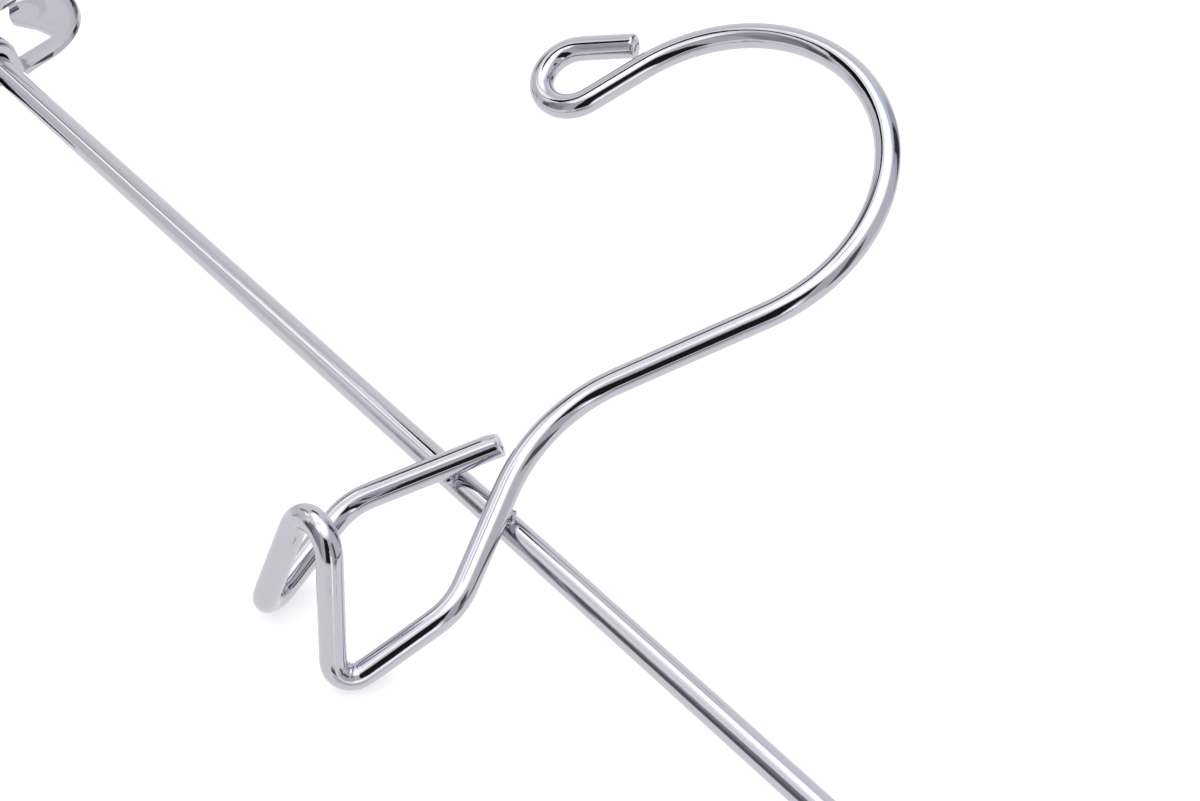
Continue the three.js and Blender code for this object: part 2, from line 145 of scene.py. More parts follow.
class HangerClipSettings(bpy.types.PropertyGroup):
    """Clip sizes, measured from the bar's axis"""

    inset: length("Inset", 23.7, "Distance of a clip's middle from the bar's end")
    half_width: length("Half width", 14, "Half the width of the rear plate")
    sheet: length("Sheet", 1.0, "Thickness of the pressed plates")
    side_play: length("Side play", 0.3, "Space between the ears")
    bore: length("Tube bore", 2.3, "Inner radius of the pivot tube")
    tube_radius: length("Tube radius", 2.8, "Outer radius of the pivot tube")
    flange: length("Flange", 1.1, "How far the pivot tube's ends are rolled out")
    ear_play: length("Ear play", 0.15, "Space between an ear and the pivot tube")
    ear_wall: length("Ear wall", 1.4, "Metal left round an ear's hole")
    plate_distance: length("Plate distance", 5.2, "From the bar's axis to the middle of the lever's sheet")
    lever_lean: turn("Lever lean", 15, "How far a lever leans out")
    lever_length: length("Lever length", 21, "Length of a lever from beside the bar to its round end")
    lever_corner: length("Lever corner", 11.5, "Radius of the lever's round end")
    bend_below: length("Bend below", 1.0, "How far below the bar the lever bends into the web")
    bend_radius: length("Bend radius", 3.0, "Radius of the plates' cross bends")
    ear_rise: length("Ear rise", 4.5, "How far an ear reaches up the lever")
    ear_drop: length("Ear drop", 4.5, "How far an ear reaches down the web")
    ear_bend: length("Ear bend", 1.0, "Radius of the bend into an ear")
    rim_curl: length("Rim curl", 0.28, "How far the lever's rim is rolled towards the bar")
    rim_curl_width: length("Rim curl width", 2.2, "Width of the rolled rim")
    dish_depth: length("Dish depth", 0.16, "How far the finger pad is pressed away from the bar")
    dish_half_width: length("Dish half width", 5.0, "Half the width of the finger pad's dish")
    dish_middle: length("Dish middle", 11.0, "Height of the dish's middle on the lever")
    dish_rise: length("Dish rise", 6.0, "From the dish's middle to its top")
    dish_wall: length("Dish wall", 1.8, "Width of the dish's sloping wall")
    window_floor: length("Window floor", 5.2, "Lower edge of the lever's window")
    window_corner: length("Window corner", 13.0, "Upper corners of the lever's window")
    window_rim: length("Window rim", 4.1, "Metal beside the lever's window")
    window_taper: length("Window taper", 0.1, "How much the window narrows upwards on each side")
    window_dip: length("Window dip", 9.9, "Lowest point of the finger pad's tongue")
    tongue_base: length("Tongue base", 3.2, "Where the tongue's curve leaves the window's upper edge")
    tongue_tip: length("Tongue tip", 1.5, "How blunt the tongue is")
    tongue_drop: length("Tongue drop", 0.7, "How far the window's upper edge falls towards the tongue")
    grip_top: length("Grip top", 20, "Where the upright grip begins below the bar")
    grip_length: length("Grip length", 11, "Height of the upright grip")
    grip_half_width: length("Grip half width", 13, "Half the width of the grip")
    grip_corner: length("Grip corner", 3, "Radius of the grip's corners")
    pad_wall: length("Pad wall", 0.9, "Thickness of the vinyl pads")
    pad_gap: length("Pad gap", 0.2, "Space between pad and sheet")
    pad_opening: length("Pad opening", 0.5, "How far below the grip's top a pad begins")
    pad_rib: length("Pad rib", 1.7, "Spacing of the grooves across a pad")
    pad_groove: length("Pad groove", 0.14, "Depth of the grooves across a pad")
    jaw_gap: length("Jaw gap", 0.3, "Space between the closed pads")
    spring_wire: length("Spring wire", 1.0, "Thickness of the spring's wire")
    spring_radius: length("Spring radius", 3.9, "Radius of the spring's turns")
    spring_pitch: length("Spring pitch", 1.5, "Distance between the spring's turns")
    spring_leg: length("Spring leg", 13, "Length of the spring's legs")
    spring_turns: IntProperty(
        name="Spring turns", description="Full turns of the spring", default=4, min=1, max=12
    )
    flange_thickness: length("Flange thickness", 0.6, "Thickness of the pivot tube's flanges")
    cap_wall: length("Cap wall", 1.3, "Thickness of the end caps")
    cap_gap: length("Cap gap", 0.1, "Space between an end cap and the bar")
    cap_grip: length("Cap grip", 6, "How far an end cap covers the bar")
    cap_crown: length("Cap crown", 1.2, "Height of an end cap's dome")


class HangerFinishSettings(bpy.types.PropertyGroup):
    """Colours and gloss"""

    chrome: colour("Chrome", (0.56, 0.553, 0.61), "Colour of the chrome plate")
    chrome_roughness: share("Chrome roughness", 0.055, "Haze of the chrome plate")
    spring_steel: colour("Spring steel", (0.46, 0.47, 0.51), "Colour of the springs")
    spring_roughness: share("Spring roughness", 0.2, "Haze of the springs")
    vinyl: colour("Vinyl", (0.009, 0.009, 0.010), "Colour of the jaw pads")
    vinyl_roughness: share("Vinyl roughness", 0.5, "Haze of the jaw pads")


class HangerStageSettings(bpy.types.PropertyGroup):
    """Light and backdrop"""

    board: colour("Board", (0.86, 0.86, 0.87), "Colour of the pale board behind the hanger")
    board_distance: length("Board distance", 36, "How far the board lies behind the bar")
    board_lift: share("Board lift", 0.36, "Glow that lifts the board to white for the camera")
    spot_radius: length("Spot radius", 9.5, "Size of the spots of table under the loop's two corners")
    lens: FloatProperty(name="Lens", description="Camera lens", default=76.164, min=10, unit="CAMERA")


# Paths

def spread(a, b, count):
    return [a + (b - a) * i / count for i in range(count + 1)]


def soft_step(low, high, value):
    t = min(1.0, max(0.0, (value - low) / (high - low)))
    return t * t * (3 - 2 * t)


def arc_points(centre, spoke, axis, sweep):
    count = max(2, math.ceil(abs(sweep) / BEND_STEP))
    return [centre + Quaternion(axis, sweep * i / count) @ spoke for i in range(count + 1)]


def bend_points(before, corner, after, radius):
    arriving = (corner - before).normalized()
    leaving = (after - corner).normalized()
    sweep = arriving.angle(leaving)
    axis = arriving.cross(leaving).normalized()
    inward = axis.cross(arriving)
    start = corner - arriving * (radius * math.tan(sweep / 2))
    return arc_points(start + inward * radius, -inward * radius, axis, sweep)


def evenly(points, spacing):
    """The same path with points at an even spacing"""
    total = sum((b - a).length for a, b in zip(points, points[1:]))
    count = max(2, round(total / spacing))
    wanted = [total * i / count for i in range(count + 1)]
    result = []
    walked = 0.0
    index = 0
    for distance in wanted:
        while index < len(points) - 2 and walked + (points[index + 1] - points[index]).length < distance:
            walked += (points[index + 1] - points[index]).length
            index += 1
        a, b = points[index], points[index + 1]
        span = (b - a).length
        result.append(a.lerp(b, min(1.0, (distance - walked) / span) if span else 0))
    return result


def eased(points, rounds):
    """Eases the start of each bend, as bent wire does"""
    for _ in range(rounds):
        inner = [(a + 2 * b + c) / 4 for a, b, c in zip(points, points[1:], points[2:])]
        points = [points[0], *inner, points[-1]]
    return points


def bar_depth(w):
    return w.bar_diameter / 2 + w.wire_diameter / 2 + w.crossing_gap


def hook_origin(w):
    """Place of the bar's middle in the hook's plane. The part's origin is the inside top of the hook."""
    return Vector((-w.hook[0], 0, -(w.hook[1] + w.hook_radius - w.wire_diameter / 2)))


def in_plane(place_xz):
    return Vector((place_xz[0], 0, place_xz[1]))


def bar_middle(w):
    return hook_origin(w) + Vector((0, bar_depth(w), 0))


def hook_wire_path(w):
    """Centre line of the bent wire, from the tail's end to the curled tip"""
    tail, neck, centre = in_plane(w.tail), in_plane(w.neck), in_plane(w.hook)
    to_centre = centre - neck
    turn_in = math.asin(w.hook_radius / to_centre.length)
    heading = Quaternion(FRONT, -turn_in) @ to_centre.normalized()
    arc_start = neck + heading * (to_centre.length * math.cos(turn_in))
    bends = [
        (in_plane(w.left_bend), w.left_bend_radius),
        (in_plane(w.left_corner), w.left_corner_radius),
        (Vector((w.loop_left_x, -w.loop_reach, w.loop_top_z)), w.loop_radius),
        (Vector((w.loop_right_x, -w.loop_reach, w.loop_top_z)), w.loop_radius),
        (in_plane(w.right_corner), w.right_corner_radius),
        (in_plane(w.right_bend), w.right_bend_radius),
        (neck, w.neck_radius),
    ]
    corners = [tail, *(corner for corner, _ in bends), arc_start]
    points = [tail]
    for i, (_, radius) in enumerate(bends):
        points += bend_points(*corners[i : i + 3], radius)
    spoke = arc_start - centre
    hook_sweep = w.hook_end - math.atan2(spoke.z, spoke.x)
    points += arc_points(centre, spoke, FRONT, hook_sweep)
    away = (points[-1] - centre).normalized()
    curl_start = points[-1] + FRONT.cross(away) * w.hook_lead
    curl_centre = curl_start + away * w.curl_radius
    points += arc_points(curl_centre, -away * w.curl_radius, -FRONT, w.curl_sweep)
    last_spoke = (points[-1] - curl_centre).normalized()
    points.append(points[-1] + (-FRONT).cross(last_spoke) * w.tip_length)
    origin = hook_origin(w)
    return [origin + p for p in points]


# Meshes

def new_object(name, mesh):
    obj = bpy.data.objects.new(name, mesh)
    bpy.context.scene.collection.objects.link(obj)
    return obj


def mesh_from(name, vertices, faces):
    mesh = bpy.data.meshes.new(name)
    mesh.from_pydata([tuple(v) for v in vertices], [], faces)
    mesh.validate()
    return mesh


def plain_mesh(obj):
    """Turns an object's modifiers into its mesh"""
    evaluated = obj.evaluated_get(bpy.context.evaluated_depsgraph_get())
    mesh = bpy.data.meshes.new_from_object(evaluated)
    obj.modifiers.clear()
    old = obj.data
    obj.data = mesh
    bpy.data.meshes.remove(old)
    mesh.name = obj.name


def smooth(mesh, angle_deg=35):
    mesh.polygons.foreach_set("use_smooth", [True] * len(mesh.polygons))
    mesh.set_sharp_from_angle(angle=math.radians(angle_deg))


def outward(mesh, weld_distance=1e-7):
    """Welds points that meet and turns the faces outward"""
    bm = bmesh.new()
    bm.from_mesh(mesh)
    bmesh.ops.remove_doubles(bm, verts=bm.verts, dist=weld_distance)
    bmesh.ops.recalc_face_normals(bm, faces=bm.faces)
    bm.to_mesh(mesh)
    bm.free()


def finish_piece(obj, body, slot, material, *nodes):
    """Gives a piece its material, its body and the nodes that it replaces. The slot is not used."""
    if not obj.data.materials:
        obj.data.materials.append(material)
    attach(obj, body)
    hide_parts(*nodes)


def new_node(tree, kind, inputs=None, **settings):
    """A node with its settings, and then the values of its inputs"""
    made = tree.nodes.new(kind)
    for key, value in settings.items():
        setattr(made, key, value)
    set_values(made, inputs or {})
    return made


def set_values(node, inputs):
    for key, value in inputs.items():
        node.inputs[key].default_value = value


def connect(tree, *links):
    """Links, each given as a node, its output, a node and its input"""
    for source, output, target, entry in links:
        tree.links.new(source.outputs[output], target.inputs[entry])


def wire_tree():
    """Geometry Nodes: a round wire along a line of vertices"""
    name = "Wire along a line"
    if name in bpy.data.node_groups:
        return bpy.data.node_groups[name]
    tree = bpy.data.node_groups.new(name, "GeometryNodeTree")
    sockets = (("Geometry", "Geometry", None), ("Radius", "Float", 1.9 * MM), ("Sides", "Int", 40),
               ("Material", "Material", None))
    for label, kind, default in sockets:
        socket = tree.interface.new_socket(label, in_out="INPUT", socket_type=f"NodeSocket{kind}")
        if default:
            socket.default_value = default
    tree.interface.new_socket("Geometry", in_out="OUTPUT", socket_type="NodeSocketGeometry")
    given = new_node(tree, "NodeGroupInput")
    line = new_node(tree, "GeometryNodeMeshToCurve")
    circle = new_node(tree, "GeometryNodeCurvePrimitiveCircle")
    sweep = new_node(tree, "GeometryNodeCurveToMesh", {"Fill Caps": True})
    shade = new_node(tree, "GeometryNodeSetShadeSmooth")
    realize = new_node(tree, "GeometryNodeRealizeInstances")
    paint = new_node(tree, "GeometryNodeSetMaterial")
    result = new_node(tree, "NodeGroupOutput")
    connect(
        tree,
        (given, "Geometry", line, "Mesh"),
        (given, "Sides", circle, "Resolution"),
        (given, "Radius", circle, "Radius"),
        (line, "Curve", sweep, "Curve"),
        (circle, "Curve", sweep, "Profile Curve"),
        (sweep, "Mesh", shade, "Geometry"),
        (shade, "Geometry", realize, "Geometry"),
        (realize, "Geometry", paint, "Geometry"),
        (given, "Material", paint, "Material"),
        (paint, "Geometry", result, "Geometry"),
    )
    return tree


def set_inputs(modifier, **values):
    for item in modifier.node_group.interface.items_tree:
        if item.item_type == "SOCKET" and item.in_out == "INPUT" and item.name in values:
            modifier[item.identifier] = values[item.name]


def wire(name, points, radius, sides, material):
    """A round wire along points. Its rings follow the points in order, one vertex per side."""
    line = bpy.data.meshes.new(name)
    line.from_pydata([tuple(p) for p in points], [(i, i + 1) for i in range(len(points) - 1)], [])
    obj = new_object(name, line)
    modifier = obj.modifiers.new("Wire", "NODES")
    modifier.node_group = wire_tree()
    set_inputs(modifier, Radius=radius, Sides=sides, Material=material)
    plain_mesh(obj)
    wire_uv(obj.data, points, sides)
    smooth(obj.data)
    return obj


def wire_uv(mesh, points, sides):
    """U runs once round the wire, and V along it"""
    v_length = 10 * MM
    run = [0.0]
    for a, b in zip(points, points[1:]):
        run.append(run[-1] + (b - a).length)
    layer = mesh.uv_layers.new(name="Along")
    for polygon in mesh.polygons:
        turns = [mesh.loops[i].vertex_index % sides for i in polygon.loop_indices]
        wraps = max(turns) - min(turns) > sides / 2
        for i, around in zip(polygon.loop_indices, turns):
            ring = min(mesh.loops[i].vertex_index // sides, len(points) - 1)
            u = around + sides if wraps and around < sides / 2 else around
            layer.data[i].uv = (u / sides, run[ring] / v_length)


def fine_ends(points, reach):
    """The same path with closer points near its two ends, where the wire is cut"""
    shares = (0, 0.01, 0.03, 0.06, 0.1, 0.15, 0.21, 0.28, 0.36, 0.45, 0.55, 0.66, 0.78, 0.9)

    def refined(path):
        start, way = path[0], (path[1] - path[0]).normalized()
        rest = [p for p in path if (p - start).length > reach]
        return [start + way * (reach * t) for t in shares] + rest

    return refined(refined(points)[::-1])[::-1]


def bend_strengths(points):
    """For each point, a vector to the inside of its bend, as long as 1 divided by the bend's radius"""
    strengths = [Vector()]
    for a, b, c in zip(points, points[1:], points[2:]):
        before, after = (b - a).length, (c - b).length
        strengths.append(((c - b) / after - (b - a) / before) * (2 / (before + after)))
    return strengths + [Vector()]


def reshape_rings(mesh, points, sides, shape):
    """Moves each ring's vertices: shape(ring, along, offset) gives the new offset from the ring's centre"""
    run = 0.0
    for ring, point in enumerate(points):
        if ring:
            run += (point - points[ring - 1]).length
        for k in range(sides):
            vertex = mesh.vertices[ring * sides + k]
            vertex.co = point + shape(ring, run, vertex.co - point)


def cut_faces(mesh, sides, step, shape):
    """Fills a wire's two ends with rings of faces, and moves them along the wire by shape(place)"""
    rings = 5
    bm = bmesh.new()
    bm.from_mesh(mesh)
    ends = [face for face in bm.faces if len(face.verts) == sides]
    for face in ends:
        axis = face.normal.copy()
        for _ in range(rings):
            bmesh.ops.inset_region(bm, faces=[face], thickness=step)
            for vertex in face.verts:
                vertex.co += axis * shape(vertex.co)
        middle = bmesh.ops.poke(bm, faces=[face])["verts"]
        for vertex in middle:
            vertex.co += axis * shape(vertex.co)
    bm.to_mesh(mesh)
    bm.free()


def lathe(name, profile, place_at, closed):
    """Turns (radius, along X) points about the X axis through a place"""
    vertices = []
    faces = []
    rows = len(profile)
    for i in range(LATHE_STEPS):
        angle = 2 * math.pi * i / LATHE_STEPS
        for radius, along in profile:
            vertices.append(place_at + Vector((along, radius * math.cos(angle), radius * math.sin(angle))))
        here, there = i * rows, (i + 1) % LATHE_STEPS * rows
        for k in range(rows if closed else rows - 1):
            after = (k + 1) % rows
            faces.append((here + k, here + after, there + after, there + k))
    mesh = mesh_from(name, vertices, faces)
    outward(mesh)
    smooth(mesh, 45)
    return new_object(name, mesh)


def rounded(profile, radius, steps=6):
    """A closed outline of 2D points with its corners rounded"""
    result = []
    count = len(profile)
    for i, point in enumerate(profile):
        p = Vector(point)
        before, after = Vector(profile[i - 1]), Vector(profile[(i + 1) % count])
        a, b = before - p, after - p
        r = min(radius, 0.45 * a.length, 0.45 * b.length)
        start, end = p + a.normalized() * r, p + b.normalized() * r
        for k in range(steps + 1):
            t = k / steps
            result.append(start.lerp(p, t).lerp(p.lerp(end, t), t))
    return result


def grid(rows, closed=False):
    """Vertices and faces of rows of points. A closed grid joins each row's ends."""
    vertices = [p for row in rows for p in row]
    width = len(rows[0])
    faces = []
    for j in range(len(rows) - 1):
        for k in range(width if closed else width - 1):
            a, b = j * width + k, j * width + (k + 1) % width
            faces.append((a, b, b + width, a + width))
    return vertices, faces


def joined(patches):
    """One list of vertices and faces from several grids"""
    vertices, faces = [], []
    for points, quads in patches:
        start = len(vertices)
        vertices += points
        faces += [tuple(i + start for i in quad) for quad in quads]
    return vertices, faces


# Clip plates: a sheet coordinate runs from the lever's round end down to the grip's end

class PlateShape:
    """Side view of a clip plate about the bar, and the sheet's outline for a half width"""

    def __init__(self, c, half_width):
        self.c = c
        self.half_width = half_width
        run = Vector((0, math.sin(c.lever_lean), math.cos(c.lever_lean)))
        back = Vector((0, math.cos(c.lever_lean), -math.sin(c.lever_lean)))
        self.run, self.back = run, back
        foot = back * c.plate_distance
        grip = Vector((0, c.jaw_gap / 2 + c.pad_wall + c.pad_gap + c.sheet / 2, -c.grip_top))
        below = Vector((0, 0, -c.grip_length))
        self.corners = [foot + run * c.lever_length, foot - run * c.bend_below, grip, grip + below]
        self.stops = [0.0]
        for a, b in zip(self.corners, self.corners[1:]):
            self.stops.append(self.stops[-1] + (b - a).length)
        self.ear_top = c.lever_length - c.ear_rise
        self.ear_bottom = self.stops[1] + c.ear_drop
        self.ear_edge = half_width - c.sheet / 2 - c.ear_bend

    def side(self, s):
        """Point of the sheet's middle in the side view, and the way out from the bar"""
        for i in (1, 2):
            arriving = (self.corners[i] - self.corners[i - 1]).normalized()
            leaving = (self.corners[i + 1] - self.corners[i]).normalized()
            sweep = arriving.angle(leaving)
            trim = self.c.bend_radius * math.tan(sweep / 2)
            if abs(s - self.stops[i]) < trim:
                axis = arriving.cross(leaving).normalized()
                inward = axis.cross(arriving)
                begin = self.corners[i] - arriving * trim
                swing = Quaternion(axis, sweep * (s - self.stops[i] + trim) / (2 * trim))
                point = begin + inward * self.c.bend_radius - swing @ inward * self.c.bend_radius
                return point, X_AXIS.cross(swing @ arriving)
        i = 0 if s < self.stops[1] else 1 if s < self.stops[2] else 2
        way = (self.corners[i + 1] - self.corners[i]).normalized()
        return self.corners[i] + way * (s - self.stops[i]), X_AXIS.cross(way)

    def place(self, x, s, lift=0.0):
        point, out = self.side(s)
        return X_AXIS * x + point + out * lift

    def half_width_at(self, s):
        """Half the sheet's width below the ears: the web narrows to the grip, which has round corners"""
        c = self.c
        if s < self.stops[2]:
            t = (s - self.stops[1]) / (self.stops[2] - self.stops[1])
            return self.half_width + (c.grip_half_width - self.half_width) * t
        left = min(self.stops[3] - s, c.grip_corner)
        return c.grip_half_width - c.grip_corner + math.sqrt(c.grip_corner**2 - (c.grip_corner - left) ** 2)

    def rolled(self, s, from_rim):
        """How far the lever's sheet is rolled in at its rim, which fades out above the ears"""
        above_ears = soft_step(0, 4 * MM, self.ear_top - s)
        return -above_ears * self.c.rim_curl * max(0.0, 1 - from_rim / self.c.rim_curl_width) ** 2

    def dish(self, point):
        """How far a point of the lever is moved by the finger pad's dish, which the window cuts off below"""
        c = self.c
        height = (point - self.corners[1]).dot(self.run) - c.bend_below
        from_middle = math.hypot(point.x / c.dish_half_width, (height - c.dish_middle) / c.dish_rise)
        depth = c.dish_depth * (1 - soft_step(1 - c.dish_wall / c.dish_rise, 1, from_middle))
        return self.back * depth


def lever_patch(shape):
    """The lever above the ears, as rings from its outline to its window"""
    c, half = shape.c, shape.half_width
    top, foot, edge = c.lever_length, shape.ear_top, shape.ear_edge
    corner = min(c.lever_corner, half)
    shoulder = half - corner
    split = math.radians(42)
    rings = 40

    def round_end(angle):
        return shoulder + corner * math.cos(angle), corner - corner * math.sin(angle)

    bottom = [-half, -(half + edge) / 2, *spread(-edge, edge, SHEET_COLUMNS), (half + edge) / 2, half]
    side = [(half, s) for s in spread(foot, corner, 6)[1:]] + [round_end(a) for a in spread(0, split, 8)[1:]]
    crown = [round_end(a) for a in spread(split, math.pi / 2, 24)[1:]]
    flat = [(x, 0) for x in spread(shoulder, -shoulder, 14)[1:-1]]
    outer = [(x, foot) for x in bottom] + side + crown + flat
    outer += [(-x, s) for x, s in reversed(side + crown)]

    # The window's upper edge is the lower edge of the finger pad, a blunt tongue
    floor_half = half - c.window_rim
    corner_half = floor_half - c.window_taper
    floor, window_corner = top - c.window_floor, top - c.window_corner
    dip = top - c.window_dip
    steer = [
        (corner_half, window_corner),
        (c.tongue_base, window_corner + c.tongue_drop),
        (c.tongue_tip, dip),
        (0, dip),
    ]

    def tongue(q):
        a, b = 1 - abs(q), abs(q)
        shares = (b**3, 3 * b * b * a, 3 * b * a * a, a**3)
        x, s = (sum(share * point[i] for share, point in zip(shares, steer)) for i in (0, 1))
        return math.copysign(x, q), s

    reveal = [(floor_half - c.window_taper * u, floor + (window_corner - floor) * u)
              for u in spread(0, 1, len(side))]
    arc = [tongue(q) for q in spread(1, -1, 2 * len(crown) + len(flat) + 1)]
    inner = [(floor_half * x / half, floor) for x in bottom] + reveal[1:] + arc[1:-1]
    inner += [(-x, s) for x, s in reversed(reveal)][:-1]

    rows = []
    for t in spread(0, 1, rings):
        row = []
        for (xa, sa), (xb, sb) in zip(outer, inner, strict=True):
            x, s = xa + (xb - xa) * t, sa + (sb - sa) * t
            row.append(shape.place(x, s, shape.rolled(s, t * math.hypot(xb - xa, sb - sa))))
        rows.append(row)
    return grid(rows, closed=True)


def web_patches(shape):
    """The sheet between the ears, and the web and grip below them"""
    edge = shape.ear_edge
    between = [[shape.place(x, s) for x in spread(-edge, edge, SHEET_COLUMNS)]
               for s in spread(shape.ear_top, shape.ear_bottom, EAR_ROWS)]
    inner = edge / shape.half_width_at(shape.ear_bottom)
    columns = [-1, -(1 + inner) / 2, *spread(-inner, inner, SHEET_COLUMNS), (1 + inner) / 2, 1]
    straight = shape.stops[3] - shape.c.grip_corner
    stops = spread(shape.ear_bottom, straight, 36)
    stops += [straight + shape.c.grip_corner * math.sin(math.pi / 2 * i / 10) for i in range(1, 11)]
    below = [[shape.place(u * shape.half_width_at(s), s) for u in columns] for s in stops]
    return [grid(between), grid(below)]


def ear_patches(shape, side):
    """A side ear, bent in from the sheet's edge and pierced round the pivot tube"""
    c = shape.c
    stops = spread(shape.ear_top, shape.ear_bottom, EAR_ROWS)
    bend = []
    for angle in spread(0, math.pi / 2, 6):
        x = side * (shape.ear_edge + c.ear_bend * math.sin(angle))
        bend.append([shape.place(x, s, -c.ear_bend * (1 - math.cos(angle))) for s in stops])
    inner_edge = bend[-1]
    x = inner_edge[0].x
    hole = c.tube_radius + c.ear_play
    eye = hole + c.ear_wall
    crown, heel = Vector((x, 0, eye)), Vector((x, 0, -eye))
    far = [Vector((x, -eye * math.sin(a), -eye * math.cos(a))) for a in spread(0, math.pi, 24)]
    rim = inner_edge + [inner_edge[-1].lerp(heel, t) for t in spread(0, 1, 6)[1:-1]]
    rim += far + [crown.lerp(inner_edge[0], t) for t in spread(0, 1, 6)[1:-1]]
    rows = []
    for t in spread(0, 1, 6):
        row = []
        for p in rim:
            around = Vector((0, p.y, p.z)).normalized() * hole
            row.append(p.lerp(Vector((x, around.y, around.z)), t))
        rows.append(row)
    return [grid(bend), grid(rows, closed=True)]


def clip_plate(name, c, half_width, spot, facing):
    """A pressed clip plate. Facing 1 is the rear plate, and -1 turns it to the front."""
    shape = PlateShape(c, half_width)
    patches = [lever_patch(shape), *web_patches(shape), *ear_patches(shape, -1), *ear_patches(shape, 1)]
    vertices, faces = joined(patches)
    mesh = mesh_from(name, [(facing * v.x, facing * v.y, v.z) for v in vertices], faces)
    outward(mesh, weld_distance=2e-6)
    mesh.transform(Matrix.Translation(spot))
    obj = new_object(name, mesh)
    thick = obj.modifiers.new("Sheet", "SOLIDIFY")
    thick.thickness = c.sheet
    thick.offset = 0
    thick.use_even_offset = True
    edge = obj.modifiers.new("Edge", "BEVEL")
    edge.width = 0.22 * c.sheet
    edge.segments = 3
    edge.limit_method = "ANGLE"
    edge.angle_limit = math.radians(50)
    plain_mesh(obj)
    turned = Matrix.Diagonal((facing, facing, 1))
    for vertex in obj.data.vertices:
        vertex.co += turned @ shape.dish(turned @ (vertex.co - spot))
    outward(obj.data)
    smooth(obj.data, 40)
    return obj


def vinyl_pad(name, c, spot, facing):
    """A dipped sleeve over a grip, open at its top, with grooves across the side that holds the cloth"""
    skin = c.pad_gap + c.pad_wall
    top = -c.grip_top - c.pad_opening
    bottom = -c.grip_top - c.grip_length - skin
    depth = c.jaw_gap / 2 + skin + c.sheet / 2
    half_x, half_y = c.grip_half_width + skin, c.sheet / 2 + skin
    corner = c.grip_corner + skin
    lip = c.pad_wall / 2
    columns = 72
    ends = spread(0, math.pi, 10)[1:-1]
    rib_margin, rib_fade = 0.5 * MM, 2.5 * MM

    def ring(x_half, y_half, z, ribbed):
        """A flat loop with round ends at a height"""
        loop = []
        flat = x_half - y_half
        for x in spread(-flat, flat, columns):
            groove = ribbed * c.pad_groove * (0.5 - 0.5 * math.cos(2 * math.pi * x / c.pad_rib)) ** 3
            loop.append(Vector((x, -y_half + groove, z)))
        loop += [Vector((flat + y_half * math.sin(a), -y_half * math.cos(a), z)) for a in ends]
        loop += [Vector((x, y_half, z)) for x in spread(flat, -flat, columns)]
        loop += [Vector((-flat - y_half * math.sin(a), y_half * math.cos(a), z)) for a in ends]
        return loop

    rows = []
    inner = corner - c.pad_wall
    inner_x, inner_y = half_x - c.pad_wall, half_y - c.pad_wall
    for z in spread(bottom + c.pad_wall, top - lip, 3):
        left = max(0.0, min(inner, z - bottom - c.pad_wall + 0.05 * MM))
        narrow = inner - math.sqrt(inner**2 - (inner - left) ** 2)
        rows.append(ring(inner_x - narrow, inner_y, z, 0))
    for a in spread(0, math.pi, 8):
        out = lip * (1 - math.cos(a))
        rows.append(ring(inner_x + out, inner_y + out, top - lip + lip * math.sin(a), 0))
    heights = spread(top - lip, bottom + corner, 14)[1:]
    heights += [bottom + corner * (1 - math.sin(math.pi / 2 * i / 14)) for i in range(1, 15)]
    for z in heights:
        up = max(z - bottom, 0.02 * MM)
        narrow = corner - math.sqrt(corner**2 - (corner - min(up, corner)) ** 2)
        thin = c.pad_wall - math.sqrt(c.pad_wall**2 - (c.pad_wall - min(up, c.pad_wall)) ** 2)
        ribbed = soft_step(0, rib_fade, min(top - z, z - bottom - rib_margin))
        rows.append(ring(half_x - narrow, half_y - thin, bottom + up, ribbed))
    vertices, faces = grid(rows, closed=True)
    width = len(rows[0])
    last = len(vertices) - width
    faces += [tuple(range(width)), tuple(range(last, last + width))]
    placed = [spot + Vector((facing * v.x, facing * (v.y + depth), v.z)) for v in vertices]
    mesh = mesh_from(name, placed, faces)
    outward(mesh)
    smooth(mesh, 60)
    return new_object(name, mesh)


def spring_path(c, spot):
    """A leg on the rear lever, turns round the pivot tube and a leg on the front lever"""
    steps_per_turn = 40
    sweep = math.pi - 2 * c.lever_lean + 2 * math.pi * c.spring_turns
    advance = sweep / (2 * math.pi) * c.spring_pitch
    coil = []
    for t in spread(0, 1, steps_per_turn * (c.spring_turns + 1)):
        angle = -c.lever_lean - sweep * t
        turn_at = Vector((0, math.cos(angle), math.sin(angle))) * c.spring_radius
        coil.append(Vector((advance * (t - 0.5), turn_at.y, turn_at.z)))
    rear = Vector((0, -coil[0].z, coil[0].y)).normalized() * c.spring_leg
    front = Vector((0, coil[-1].z, -coil[-1].y)).normalized() * c.spring_leg
    return [spot + p for p in (coil[0] + rear, *coil, coil[-1] + front)]


